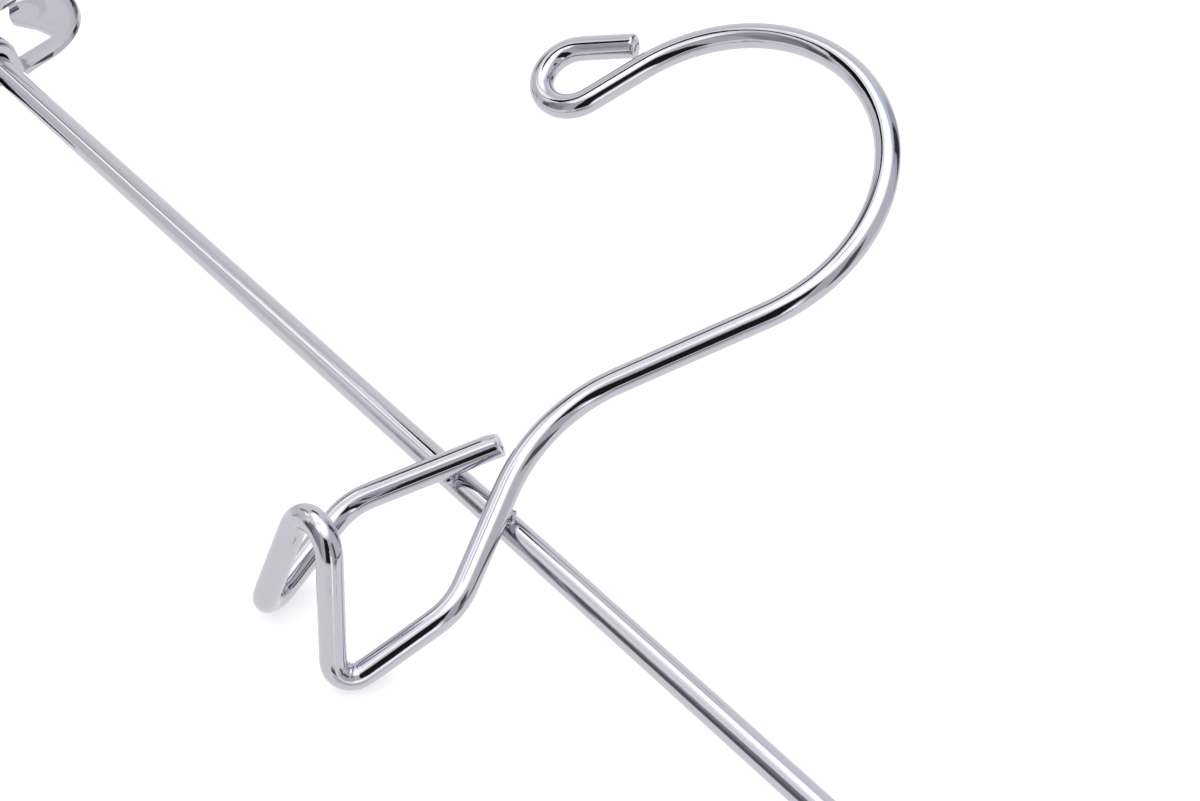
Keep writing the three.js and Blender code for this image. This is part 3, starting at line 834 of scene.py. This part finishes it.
def weld_bead(name, crossing, along, w, nugget):
    """Metal squeezed out of a weld: short rods in wire and bar, and a nugget, melted into each other"""
    sunk = 0.06 * MM
    reach = 5 * MM
    voxel = 0.13 * MM
    ripple_size, ripple_height = 0.9 * MM, 0.05 * MM
    rods = [(crossing, along, w.wire_diameter / 2 - sunk),
            (crossing + Vector((0, bar_depth(w), 0)), X_AXIS, w.bar_diameter / 2 - sunk)]
    bm = bmesh.new()
    for middle, way, radius in rods:
        turned = Vector((0, 0, 1)).rotation_difference(way).to_matrix().to_4x4()
        bmesh.ops.create_cone(
            bm, cap_ends=True, segments=48, radius1=radius, radius2=radius, depth=2 * reach,
            matrix=Matrix.Translation(middle) @ turned,
        )
    for offset, size in nugget:
        shape = Matrix.Translation(crossing + offset) @ Matrix.Diagonal((*size, 1))
        bmesh.ops.create_icosphere(bm, subdivisions=4, radius=1.0, matrix=shape)
    mesh = bpy.data.meshes.new(name)
    bm.to_mesh(mesh)
    bm.free()
    obj = new_object(name, mesh)
    melt = obj.modifiers.new("Melt", "REMESH")
    melt.mode = "VOXEL"
    melt.voxel_size = voxel
    relax = obj.modifiers.new("Relax", "SMOOTH")
    relax.factor = 0.5
    relax.iterations = 14
    plain_mesh(obj)
    rippled = []
    for vertex in obj.data.vertices:
        ripple = noise.noise(vertex.co / ripple_size) * ripple_height
        rippled.extend(vertex.co + vertex.normal * ripple)
    obj.data.vertices.foreach_set("co", rippled)
    smooth(obj.data, 180)
    return obj


# Finishes

def made_once(name, build, settings):
    """The material of that name. The first call makes it and builds its nodes from the settings."""
    material = bpy.data.materials.get(name)
    if material is None:
        material = bpy.data.materials.new(name)
        material.use_nodes = True
        build(material.node_tree, settings)
    return material


def chrome_material(finish):
    return made_once("bright_chrome_plate", build_chrome, finish)


def build_chrome(tree, finish):
    """Bright plate over drawn wire: faint ripples in the plate and fine dust specks in its haze"""
    shader = tree.nodes["Principled BSDF"]
    set_values(shader, {"Base Color": (*finish.chrome, 1), "Metallic": 1.0})
    where = new_node(tree, "ShaderNodeTexCoord")
    ripple = new_node(tree, "ShaderNodeTexNoise", {"Scale": 420, "Detail": 2})
    bump = new_node(tree, "ShaderNodeBump", {"Strength": 0.035, "Distance": 0.0004})
    specks = new_node(tree, "ShaderNodeTexNoise", {"Scale": 1500, "Detail": 3})
    clean, dusty = finish.chrome_roughness, finish.chrome_roughness + 0.12
    levels = {"From Min": 0.62, "From Max": 0.8, "To Min": clean, "To Max": dusty}
    haze = new_node(tree, "ShaderNodeMapRange", levels)
    connect(
        tree,
        (where, "Object", ripple, "Vector"),
        (where, "Object", specks, "Vector"),
        (ripple, "Fac", bump, "Height"),
        (specks, "Fac", haze, "Value"),
        (haze, "Result", shader, "Roughness"),
        (bump, "Normal", shader, "Normal"),
    )


def build_spring_wire(tree, finish):
    """Plated spring wire, a little duller than the chrome, with faint drawing lines along it"""
    shader = tree.nodes["Principled BSDF"]
    tint, haze = (*finish.spring_steel, 1), finish.spring_roughness
    set_values(shader, {"Base Color": tint, "Metallic": 1.0, "Roughness": haze})
    where = new_node(tree, "ShaderNodeTexCoord")
    stretch = new_node(tree, "ShaderNodeMapping", {"Scale": (24, 0.6, 1)})
    lines = new_node(tree, "ShaderNodeTexNoise", {"Scale": 3})
    bump = new_node(tree, "ShaderNodeBump", {"Strength": 0.15, "Distance": 0.0001})
    connect(
        tree,
        (where, "UV", stretch, "Vector"),
        (stretch, "Vector", lines, "Vector"),
        (lines, "Fac", bump, "Height"),
        (bump, "Normal", shader, "Normal"),
    )


def build_vinyl(tree, finish):
    """Dipped black vinyl with a fine leathery grain"""
    shader = tree.nodes["Principled BSDF"]
    set_values(shader, {"Roughness": finish.vinyl_roughness})
    where = new_node(tree, "ShaderNodeTexCoord")
    cloud = new_node(tree, "ShaderNodeTexNoise", {"Scale": 180})
    tones = {"A": (*finish.vinyl, 1), "B": (*(c * 2.2 for c in finish.vinyl), 1)}
    tone = new_node(tree, "ShaderNodeMix", tones, data_type="RGBA")
    grain = new_node(tree, "ShaderNodeTexVoronoi", {"Scale": 2600})
    bump = new_node(tree, "ShaderNodeBump", {"Strength": 0.35, "Distance": 0.00015})
    connect(
        tree,
        (where, "Object", cloud, "Vector"),
        (where, "Object", grain, "Vector"),
        (cloud, "Fac", tone, "Factor"),
        (tone, "Result", shader, "Base Color"),
        (grain, "Distance", bump, "Height"),
        (bump, "Normal", shader, "Normal"),
    )


def build_board(tree, stage):
    """Pale card, lifted to white for the camera. It is open from behind and where it fades out."""
    tree.nodes.clear()
    card = new_node(tree, "ShaderNodeBsdfDiffuse", {"Color": (*stage.board, 1)})
    lift = new_node(tree, "ShaderNodeEmission")
    path = new_node(tree, "ShaderNodeLightPath")
    seen, seen_too, gone = (
        new_node(tree, "ShaderNodeMath", operation="ADD", use_clamp=True) for _ in range(3)
    )
    strength = new_node(tree, "ShaderNodeMath", {1: stage.board_lift}, operation="MULTIPLY")
    both = new_node(tree, "ShaderNodeAddShader")
    open_back = new_node(tree, "ShaderNodeBsdfTransparent")
    facing = new_node(tree, "ShaderNodeNewGeometry")
    fade = new_node(tree, "ShaderNodeAttribute", attribute_name="fade")
    choose = new_node(tree, "ShaderNodeMixShader")
    result = new_node(tree, "ShaderNodeOutputMaterial")
    connect(
        tree,
        (path, "Is Camera Ray", seen, 0),
        (path, "Is Glossy Ray", seen, 1),
        (seen, "Value", seen_too, 0),
        (path, "Is Transmission Ray", seen_too, 1),
        (seen_too, "Value", strength, 0),
        (strength, "Value", lift, "Strength"),
        (card, "BSDF", both, 0),
        (lift, "Emission", both, 1),
        (facing, "Backfacing", gone, 0),
        (fade, "Fac", gone, 1),
        (gone, "Value", choose, "Fac"),
        (both, "Shader", choose, 1),
        (open_back, "BSDF", choose, 2),
        (choose, "Shader", result, "Surface"),
    )


def build_glow(tree, attribute):
    """Light of the colour that a mesh attribute gives"""
    tree.nodes.clear()
    reading = new_node(tree, "ShaderNodeAttribute", attribute_name=attribute)
    light = new_node(tree, "ShaderNodeEmission")
    result = new_node(tree, "ShaderNodeOutputMaterial")
    connect(tree, (reading, "Color", light, "Color"), (light, "Emission", result, "Surface"))


def build_matt(tree, tone):
    """One plain matt colour"""
    tree.nodes.clear()
    matt = new_node(tree, "ShaderNodeBsdfDiffuse", {"Color": tone})
    result = new_node(tree, "ShaderNodeOutputMaterial")
    connect(tree, (matt, "BSDF", result, "Surface"))


# Studio

# The camera, from the fit to the photograph: its right and up, and its place from the bar's middle
CAMERA_RIGHT = Vector((0.63464, 0.32859, 0.69947))
CAMERA_UP = Vector((-0.52611, -0.47928, 0.70249))
CAMERA_STAND = Vector((0.207521, -0.294401, -0.025333))

# Each panel is a patch of the dome, by compass turn and height in degrees, with soft edges and a level.
# Turn 0 is straight away from the table's near edge and 90 is along the bar.
TABLE_UP = Vector((0, -0.905, 0.425)).normalized()
PANELS = (
    # turn from, to, height from, to, soft turn, soft height, level
    (-84, -20, -4, 40, 8, 4, (0.96, 0.96, 0.98)),
    (20, 64, -14, 46, 8, 6, (0.76, 0.75, 0.78)),
    (84, 107, -8, 46, 6, 5, (0.62, 0.62, 0.66)),
    (147, 174, -5, 46, 5, 6, (0.62, 0.61, 0.64)),
    (173, 206, -7, 45, 5, 8, (0.47, 0.48, 0.53)),
    (176, 206, -6, 24, 5, 10, (0.34, 0.34, 0.38)),
    (203, 217, -8, 19, 5, 10, (0.15, 0.14, 0.15)),
    (-131, -122, -8, 12, 5, 6, (0.58, 0.58, 0.62)),
    (-150, -131, 24, 49, 6, 6, (1.10, 1.09, 1.14)),
    (-162, -147, 18, 37, 5, 8, (0.27, 0.27, 0.30)),
    (-165, -124, 52, 64, 8, 6, (1.20, 1.20, 1.22)),
    (-126, -98, 52, 62, 8, 6, (1.20, 1.20, 1.23)),
    (-98, -50, 52, 72, 10, 7, (1.85, 1.85, 1.85)),
    (-122, -100, 35, 49, 4, 4, (1.60, 1.60, 1.60)),
    (-100, -91, 18, 33, 4, 6, (0.20, 0.20, 0.21)),
    (-12, 22, -18, 44, 8, 8, (0.55, 0.55, 0.58)),
    (0, 15, -10, 38, 3, 6, (0.05, 0.05, 0.06)),
    (66, 83, -13, 34, 4, 5, (0.12, 0.12, 0.13)),
    (-42, 4, 43, 58, 8, 6, (0.80, 0.90, 1.20)),
    # This panel is a painted shadow: the wire's own shadow on the table near the camera, which the chrome
    # mirrors
    (100, 140, -33, -17, 8, 6, (0.66, 0.65, 0.68)),
    (174, 197, 47, 58, 5, 3, (1.75, 1.75, 1.75)),
    (104, 114, -8, 10, 3, 4, (1.60, 1.60, 1.60)),
    (117, 142, -15, -10, 3, 2, (0.10, 0.10, 0.10)),
    (115, 149, -3.5, 30, 3, 2, (0.018, 0.016, 0.016)),
    (110, 146, 24, 50, 3, 3, (0.018, 0.016, 0.016)),
)

# Straight streaks across the panels: both ends by turn and height, width in degrees, level
SLATS = (
    ((-93, 33), (-107, 44.5), 4.0, (0.05, 0.05, 0.05)),
    ((-126, 71), (-160, 82), 7.0, (0.95, 0.95, 0.98)),
)

# A black ribbon held near the hook, for the dark line inside its bend: both ends and half the width, in mm
RIBBON = ((-65, -62, -42), (-48, -66, 4), (6.2, -7.7, -3.3))


def studio_way(compass, height):
    """Direction of a compass turn and a height in degrees"""
    flat = Quaternion(TABLE_UP, -math.radians(compass)) @ TABLE_UP.cross(X_AXIS)
    return flat * math.cos(math.radians(height)) + TABLE_UP * math.sin(math.radians(height))


def studio_level(direction):
    """How bright the studio is in a direction: table below, cloth walls, and the overhead panel above"""
    table_grey, wall_grey, lid_grey = 1.0, 0.82, 1.95
    unit = direction.normalized()
    height = math.degrees(math.asin(max(-1, min(1, unit.dot(TABLE_UP)))))
    compass = math.degrees(math.atan2(unit.dot(X_AXIS), unit.dot(TABLE_UP.cross(X_AXIS))))
    wall = soft_step(-7, -2, height)
    lid = soft_step(47, 66, height)
    grey = table_grey + wall * (wall_grey - table_grey)
    grey += lid * (lid_grey - grey)
    level = Vector((grey, grey, grey))
    for turn_from, turn_to, low, high, soft_turn, soft_height, glow in PANELS:
        middle = (turn_from + turn_to) / 2
        away_by = abs((compass - middle + 180) % 360 - 180)
        half = (turn_to - turn_from) / 2
        inside = 1 - soft_step(half - soft_turn / 2, half + soft_turn / 2, away_by)
        inside *= soft_step(low - soft_height / 2, low + soft_height / 2, height)
        inside *= 1 - soft_step(high - soft_height / 2, high + soft_height / 2, height)
        level = level.lerp(Vector(glow), inside)
    for start, end, width, glow in SLATS:
        a, b = studio_way(*start), studio_way(*end)
        off_line = math.degrees(abs(math.asin(unit.dot(a.cross(b).normalized()))))
        off_end = math.degrees(max(unit.angle(a), unit.angle(b)) - a.angle(b))
        inside = 1 - soft_step(width / 2 - 0.6, width / 2 + 0.6, max(off_line, off_end + width / 2))
        level = level.lerp(Vector(glow), inside)
    return level


# Operators

class HANGER_OT_stage(bpy.types.Operator):
    """Camera, soft light, the pale board behind the hanger and the studio that its chrome mirrors"""

    bl_idname = "hanger.stage"
    bl_label = "Stage"

    def execute(self, context):
        stage = context.scene.hanger_stage
        w = context.scene.hanger_wire
        context.scene.view_settings.view_transform = "Standard"
        self.make_camera(context, stage, w)
        self.make_world(context)
        self.make_studio()
        self.make_ribbon()
        self.make_board(stage, w)
        self.make_table_spots(stage, w)
        return {"FINISHED"}

    def make_camera(self, context, stage, w):
        data = bpy.data.cameras.new("camera")
        data.sensor_width = 36
        data.lens = stage.lens
        data.clip_start = 0.01
        data.clip_end = 20
        camera = new_object("camera", data)
        back = CAMERA_RIGHT.cross(CAMERA_UP)
        turned = Matrix((CAMERA_RIGHT, CAMERA_UP, back)).transposed().to_4x4()
        camera.matrix_world = Matrix.Translation(bar_middle(w) + CAMERA_STAND) @ turned
        context.scene.camera = camera

    def make_world(self, context):
        world = bpy.data.worlds.new("studio")
        context.scene.world = world
        world.use_nodes = True
        world.node_tree.nodes["Background"].inputs["Color"].default_value = (1, 1, 1, 1)

    def make_studio(self):
        """A dome of soft panels, white cloth and dark gaps, which only the chrome sees"""
        bm = bmesh.new()
        bmesh.ops.create_uvsphere(bm, u_segments=288, v_segments=144, radius=8.0)
        bmesh.ops.reverse_faces(bm, faces=bm.faces)
        mesh = bpy.data.meshes.new("studio")
        bm.to_mesh(mesh)
        bm.free()
        glow = mesh.attributes.new("glow", "FLOAT_COLOR", "POINT")
        for vertex, mark in zip(mesh.vertices, glow.data):
            mark.color = (*studio_level(vertex.co), 1)
        material = made_once("studio_glow", build_glow, "glow")
        material.cycles.emission_sampling = "NONE"
        mesh.materials.append(material)
        smooth(mesh, 180)
        self.only_mirrored(new_object("studio", mesh))

    def make_ribbon(self):
        """A black ribbon beside the hook, which only the chrome sees"""
        start, end, across = (Vector(v) * MM for v in RIBBON)
        corners = [start - across, end - across, end + across, start + across]
        mesh = mesh_from("ribbon", corners, [(0, 1, 2, 3)])
        mesh.materials.append(made_once("black_ribbon", build_matt, (0.01, 0.01, 0.01, 1)))
        self.only_mirrored(new_object("ribbon", mesh))

    def only_mirrored(self, obj):
        obj.visible_camera = False
        obj.visible_diffuse = False
        obj.visible_shadow = False

    def make_board(self, stage, w):
        """A pale board behind the hanger. The chrome mirrors the studio instead of it."""
        reach = 0.7
        behind = bar_middle(w) - TABLE_UP * stage.board_distance
        across, along = X_AXIS * reach, TABLE_UP.cross(X_AXIS) * reach
        corners = [behind + across * a + along * b for a, b in ((-1, -1), (1, -1), (1, 1), (-1, 1))]
        self.not_mirrored("board", mesh_from("board", corners, [(0, 1, 2, 3)]), stage)

    def not_mirrored(self, name, mesh, stage):
        mesh.materials.append(made_once("pale_card", build_board, stage))
        obj = new_object(name, mesh)
        obj.visible_glossy = False

    def make_table_spots(self, stage, w):
        """Soft-edged spots of the table where the loop's two corners rest on it, for their shadows"""
        solid, clear = 0.4, 0.97
        path = hook_wire_path(w)
        middle = hook_origin(w).x + (w.left_corner[0] + w.right_corner[0]) / 2
        along = TABLE_UP.cross(X_AXIS)
        spokes = [X_AXIS * math.cos(a) + along * math.sin(a) for a in spread(2 * math.pi, 0, 48)[:-1]]
        for side, way in zip(SIDES, (-1, 1)):
            name = f"{side}_table_spot"
            corner = min((p for p in path if (p.x - middle) * way > 0), key=lambda p: p.dot(TABLE_UP))
            centre = corner - TABLE_UP * (w.wire_diameter / 2)
            rows = [[centre + spoke * r for spoke in spokes]
                    for r in spread(0.01 * MM, stage.spot_radius, 14)]
            mesh = mesh_from(name, *grid(rows, closed=True))
            fade = mesh.attributes.new("fade", "FLOAT", "POINT")
            for vertex, mark in zip(mesh.vertices, fade.data):
                mark.value = soft_step(solid, clear, (vertex.co - centre).length / stage.spot_radius)
            self.not_mirrored(name, mesh, stage)


class HANGER_OT_cross_bar(bpy.types.Operator):
    """The straight bar"""

    bl_idname = "hanger.cross_bar"
    bl_label = "Cross bar"

    def execute(self, context):
        w = context.scene.hanger_wire
        material = chrome_material(context.scene.hanger_finish)
        half = Vector((w.bar_length / 2, 0, 0))
        points = evenly([bar_middle(w) - half, bar_middle(w) + half], BAR_SPACING)
        obj = wire("bar", points, w.bar_diameter / 2, w.sides, material)
        finish_piece(obj, "frame", "chrome", material, "cross_bar")
        return {"FINISHED"}


class HANGER_OT_hook_wire(bpy.types.Operator):
    """The bent wire: tail, stacking loop, neck, hook and curled tip"""

    bl_idname = "hanger.hook_wire"
    bl_label = "Hook wire"

    # Marks of cutting and bending: depth, and then reach, pitch or size. A tight bend is given by 1 / radius.
    SHEAR, SHEAR_REACH = 0.34 * MM, 2.2 * MM
    BURR, BURR_REACH, BURR_GRAIN = 0.1 * MM, 0.3 * MM, 900
    CREASE, CREASE_PITCH, CREASE_GRAIN = 0.075 * MM, 1.15 * MM, 0.7 * MM
    TIGHT_FROM, TIGHT_TO = 190, 300
    DENT, DENT_SIZE = 0.02 * MM, 2.3 * MM
    CUT, CUT_GRAIN, CUT_STEP = 0.09 * MM, 0.5 * MM, 0.3 * MM
    TIP_ROUNDING = 0.45 * MM
    FINE_REACH = 2.4 * MM

    def execute(self, context):
        w = context.scene.hanger_wire
        material = chrome_material(context.scene.hanger_finish)
        points = eased(evenly(hook_wire_path(w), WIRE_SPACING), EASING_ROUNDS)
        points = fine_ends(points, self.FINE_REACH)
        obj = wire("bent_hook_wire", points, w.wire_diameter / 2, w.sides, material)
        reshape_rings(obj.data, points, w.sides, self.worked_shape(w, points))
        cut_faces(obj.data, w.sides, self.CUT_STEP, self.torn)
        smooth(obj.data)
        finish_piece(obj, "frame", "chrome", material, "hook_wire")
        return {"FINISHED"}

    def torn(self, place):
        return self.CUT * noise.noise(place / self.CUT_GRAIN)

    def worked_shape(self, w, points):
        """What cutting and bending leave: a sheared tail, a rounded tip, creased corners and a dented loop"""
        total = sum((b - a).length for a, b in zip(points, points[1:]))
        bends = bend_strengths(points)
        axis = (points[1] - points[0]).normalized()
        towards = Vector((-0.75, -0.52, 0.41))
        blade = (towards - axis * towards.dot(axis)).normalized()
        rim = self.TIP_ROUNDING
        forward = -0.55 * w.loop_reach

        def shape(ring, along, offset):
            point = points[ring]
            out = offset.normalized()
            change = 0.0
            # The shear pressed one side of the tail flat and left a burr on the other
            pressed = max(0.0, out.dot(blade))
            change -= self.SHEAR * pressed**1.5 * max(0.0, 1 - along / self.SHEAR_REACH) ** 2
            ragged = 0.6 + noise.noise(point + offset * self.BURR_GRAIN)
            change += self.BURR * (1 - pressed) * max(0.0, 1 - along / self.BURR_REACH) * ragged
            # The tip's rim is rounded
            left = total - along
            if left < rim:
                change -= rim - math.sqrt(rim**2 - (rim - left) ** 2)
            # The inside of a tight corner is creased
            bend = bends[ring]
            inside = max(0.0, out.dot(bend.normalized())) if bend.length > 1e-6 else 0.0
            tight = soft_step(self.TIGHT_FROM, self.TIGHT_TO, bend.length)
            wave = math.sin(2 * math.pi * along / self.CREASE_PITCH)
            wave += noise.noise((point + offset) / self.CREASE_GRAIN)
            change += self.CREASE * tight * inside**2 * wave
            # The loop's front is dented by the bending tool
            loop = 1 - soft_step(forward - 3 * MM, forward + 2 * MM, point.y)
            change += self.DENT * loop * noise.noise((point + offset) / self.DENT_SIZE)
            return offset + out * change

        return shape


class HANGER_OT_welds(bpy.types.Operator):
    """The two weld beads between wire and bar"""

    bl_idname = "hanger.welds"
    bl_label = "Welds"

    def execute(self, context):
        w = context.scene.hanger_wire
        material = chrome_material(context.scene.hanger_finish)
        runs = {"tail": (w.tail, w.left_bend), "shank": (w.neck, w.right_bend)}
        seam = (w.wire_diameter + w.crossing_gap) / 2
        nuggets = {
            "tail": [(Vector((-0.6, 0, -0.4)) * MM, Vector((2.2, 1.0, 1.9)) * MM)],
            "shank": [(Vector((0.75, 0, 0.8)) * MM, Vector((0.7, 0.8, 1.5)) * MM),
                      (Vector((-1.0, 0, -0.6)) * MM, Vector((1.6, 0.9, 1.3)) * MM)],
        }
        for name, (start, end) in runs.items():
            along = Vector((end[0] - start[0], 0, end[1] - start[1]))
            crossing = in_plane(start) + along * (-start[1] / along.z) + hook_origin(w)
            lumps = [(offset + Vector((0, seam, 0)), size) for offset, size in nuggets[name]]
            obj = weld_bead(f"{name}_weld_bead", crossing, along.normalized(), w, lumps)
            finish_piece(obj, "frame", "chrome", material, f"weld_{name}")
        return {"FINISHED"}


class HANGER_OT_end_caps(bpy.types.Operator):
    """The two caps on the bar's ends"""

    bl_idname = "hanger.end_caps"
    bl_label = "End caps"

    def execute(self, context):
        w, c = context.scene.hanger_wire, context.scene.hanger_clip
        material = chrome_material(context.scene.hanger_finish)
        bore = w.bar_diameter / 2 + c.cap_gap
        outer = bore + c.cap_wall
        lip = c.cap_wall / 3
        dome = [(outer * math.cos(a), c.cap_crown * (1 + math.sin(a)))
                for a in spread(0, math.pi / 2, 12)]
        mouth = [(outer - lip + lip * math.cos(a), lip - c.cap_grip - lip * math.sin(a))
                 for a in spread(0, math.pi / 2, 5)]
        inside = [(bore, -c.cap_grip), (bore, c.cap_gap), (0, c.cap_gap)]
        for side, way in zip(SIDES, (-1, 1)):
            profile = [(r, way * x) for r, x in dome[::-1] + mouth + inside]
            end = bar_middle(w) + X_AXIS * (way * w.bar_length / 2)
            obj = lathe(f"{side}_domed_cap", profile, end, closed=False)
            finish_piece(obj, "frame", "chrome", material, f"{side}_end_cap")
        return {"FINISHED"}


class HANGER_OT_clips(bpy.types.Operator):
    """Both clips: hollow rivet, two pressed plates, spring and two vinyl pads each"""

    bl_idname = "hanger.clips"
    bl_label = "Clips"

    def execute(self, context):
        w, c = context.scene.hanger_wire, context.scene.hanger_clip
        finish = context.scene.hanger_finish
        chrome = chrome_material(finish)
        steel = made_once("plated_spring_wire", build_spring_wire, finish)
        vinyl = made_once("dipped_vinyl", build_vinyl, finish)
        narrow = c.half_width - c.sheet - c.side_play
        for side, way in zip(SIDES, (-1, 1)):
            spot = bar_middle(w) + X_AXIS * (way * (w.bar_length / 2 - c.inset))
            self.make_rivet(side, spot, c, chrome)
            for part, facing, half_width in (("rear", 1, c.half_width), ("front", -1, narrow)):
                plate = clip_plate(f"{side}_{part}_pressed_plate", c, half_width, spot, facing)
                finish_piece(plate, f"{side}_{part}", "chrome", chrome, f"{side}_{part}_plate")
                pad = vinyl_pad(f"{side}_{part}_vinyl_sleeve", c, spot, facing)
                finish_piece(pad, f"{side}_{part}", "vinyl", vinyl, f"{side}_{part}_pad")
            self.make_spring(side, spot, c, steel)
        return {"FINISHED"}

    def make_rivet(self, side, spot, c, material):
        half = c.half_width + c.side_play + c.flange_thickness
        shoulder = half - c.flange_thickness
        rim = c.tube_radius + c.flange
        edge_radius = 0.28 * MM
        outline = [(c.bore, -half), (rim, -half), (rim, -shoulder), (c.tube_radius, -shoulder),
                   (c.tube_radius, shoulder), (rim, shoulder), (rim, half), (c.bore, half)]
        obj = lathe(f"{side}_hollow_rivet", rounded(outline, edge_radius), spot, closed=True)
        finish_piece(obj, f"{side}_slider", "chrome", material, f"{side}_pivot_tube")

    def make_spring(self, side, spot, c, material):
        path = spring_path(c, spot)
        obj = wire(f"{side}_wound_spring", path, c.spring_wire / 2, SPRING_SIDES, material)
        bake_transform(obj)
        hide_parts(f"{side}_spring")


class HANGER_PT_panel(bpy.types.Panel):
    """Sidebar panel with the hanger's settings and one button for each step"""

    bl_idname = "HANGER_PT_panel"
    bl_label = "Clip hanger"
    bl_space_type = "VIEW_3D"
    bl_region_type = "UI"
    bl_category = "Hanger"

    def draw(self, context):
        layout = self.layout
        for step in STEPS:
            layout.operator(step.bl_idname)
        for group in SETTINGS:
            box = layout.box()
            values = getattr(context.scene, group)
            for name in values.__annotations__:
                box.prop(values, name)


STEPS = (
    HANGER_OT_stage,
    HANGER_OT_cross_bar,
    HANGER_OT_hook_wire,
    HANGER_OT_welds,
    HANGER_OT_end_caps,
    HANGER_OT_clips,
)
SETTINGS = {
    "hanger_wire": HangerWireSettings,
    "hanger_clip": HangerClipSettings,
    "hanger_finish": HangerFinishSettings,
    "hanger_stage": HangerStageSettings,
}
CLASSES = (*SETTINGS.values(), *STEPS, HANGER_PT_panel)


def register():
    for cls in CLASSES:
        bpy.utils.register_class(cls)
    for name, group in SETTINGS.items():
        setattr(bpy.types.Scene, name, PointerProperty(type=group))


def unregister():
    for name in SETTINGS:
        delattr(bpy.types.Scene, name)
    for cls in reversed(CLASSES):
        bpy.utils.unregister_class(cls)


def main():
    register()
    bpy.ops.hanger.stage()
    bpy.ops.hanger.cross_bar()
    bpy.ops.hanger.hook_wire()
    bpy.ops.hanger.welds()
    bpy.ops.hanger.end_caps()
    bpy.ops.hanger.clips()


if __name__ == "__main__":
    main()
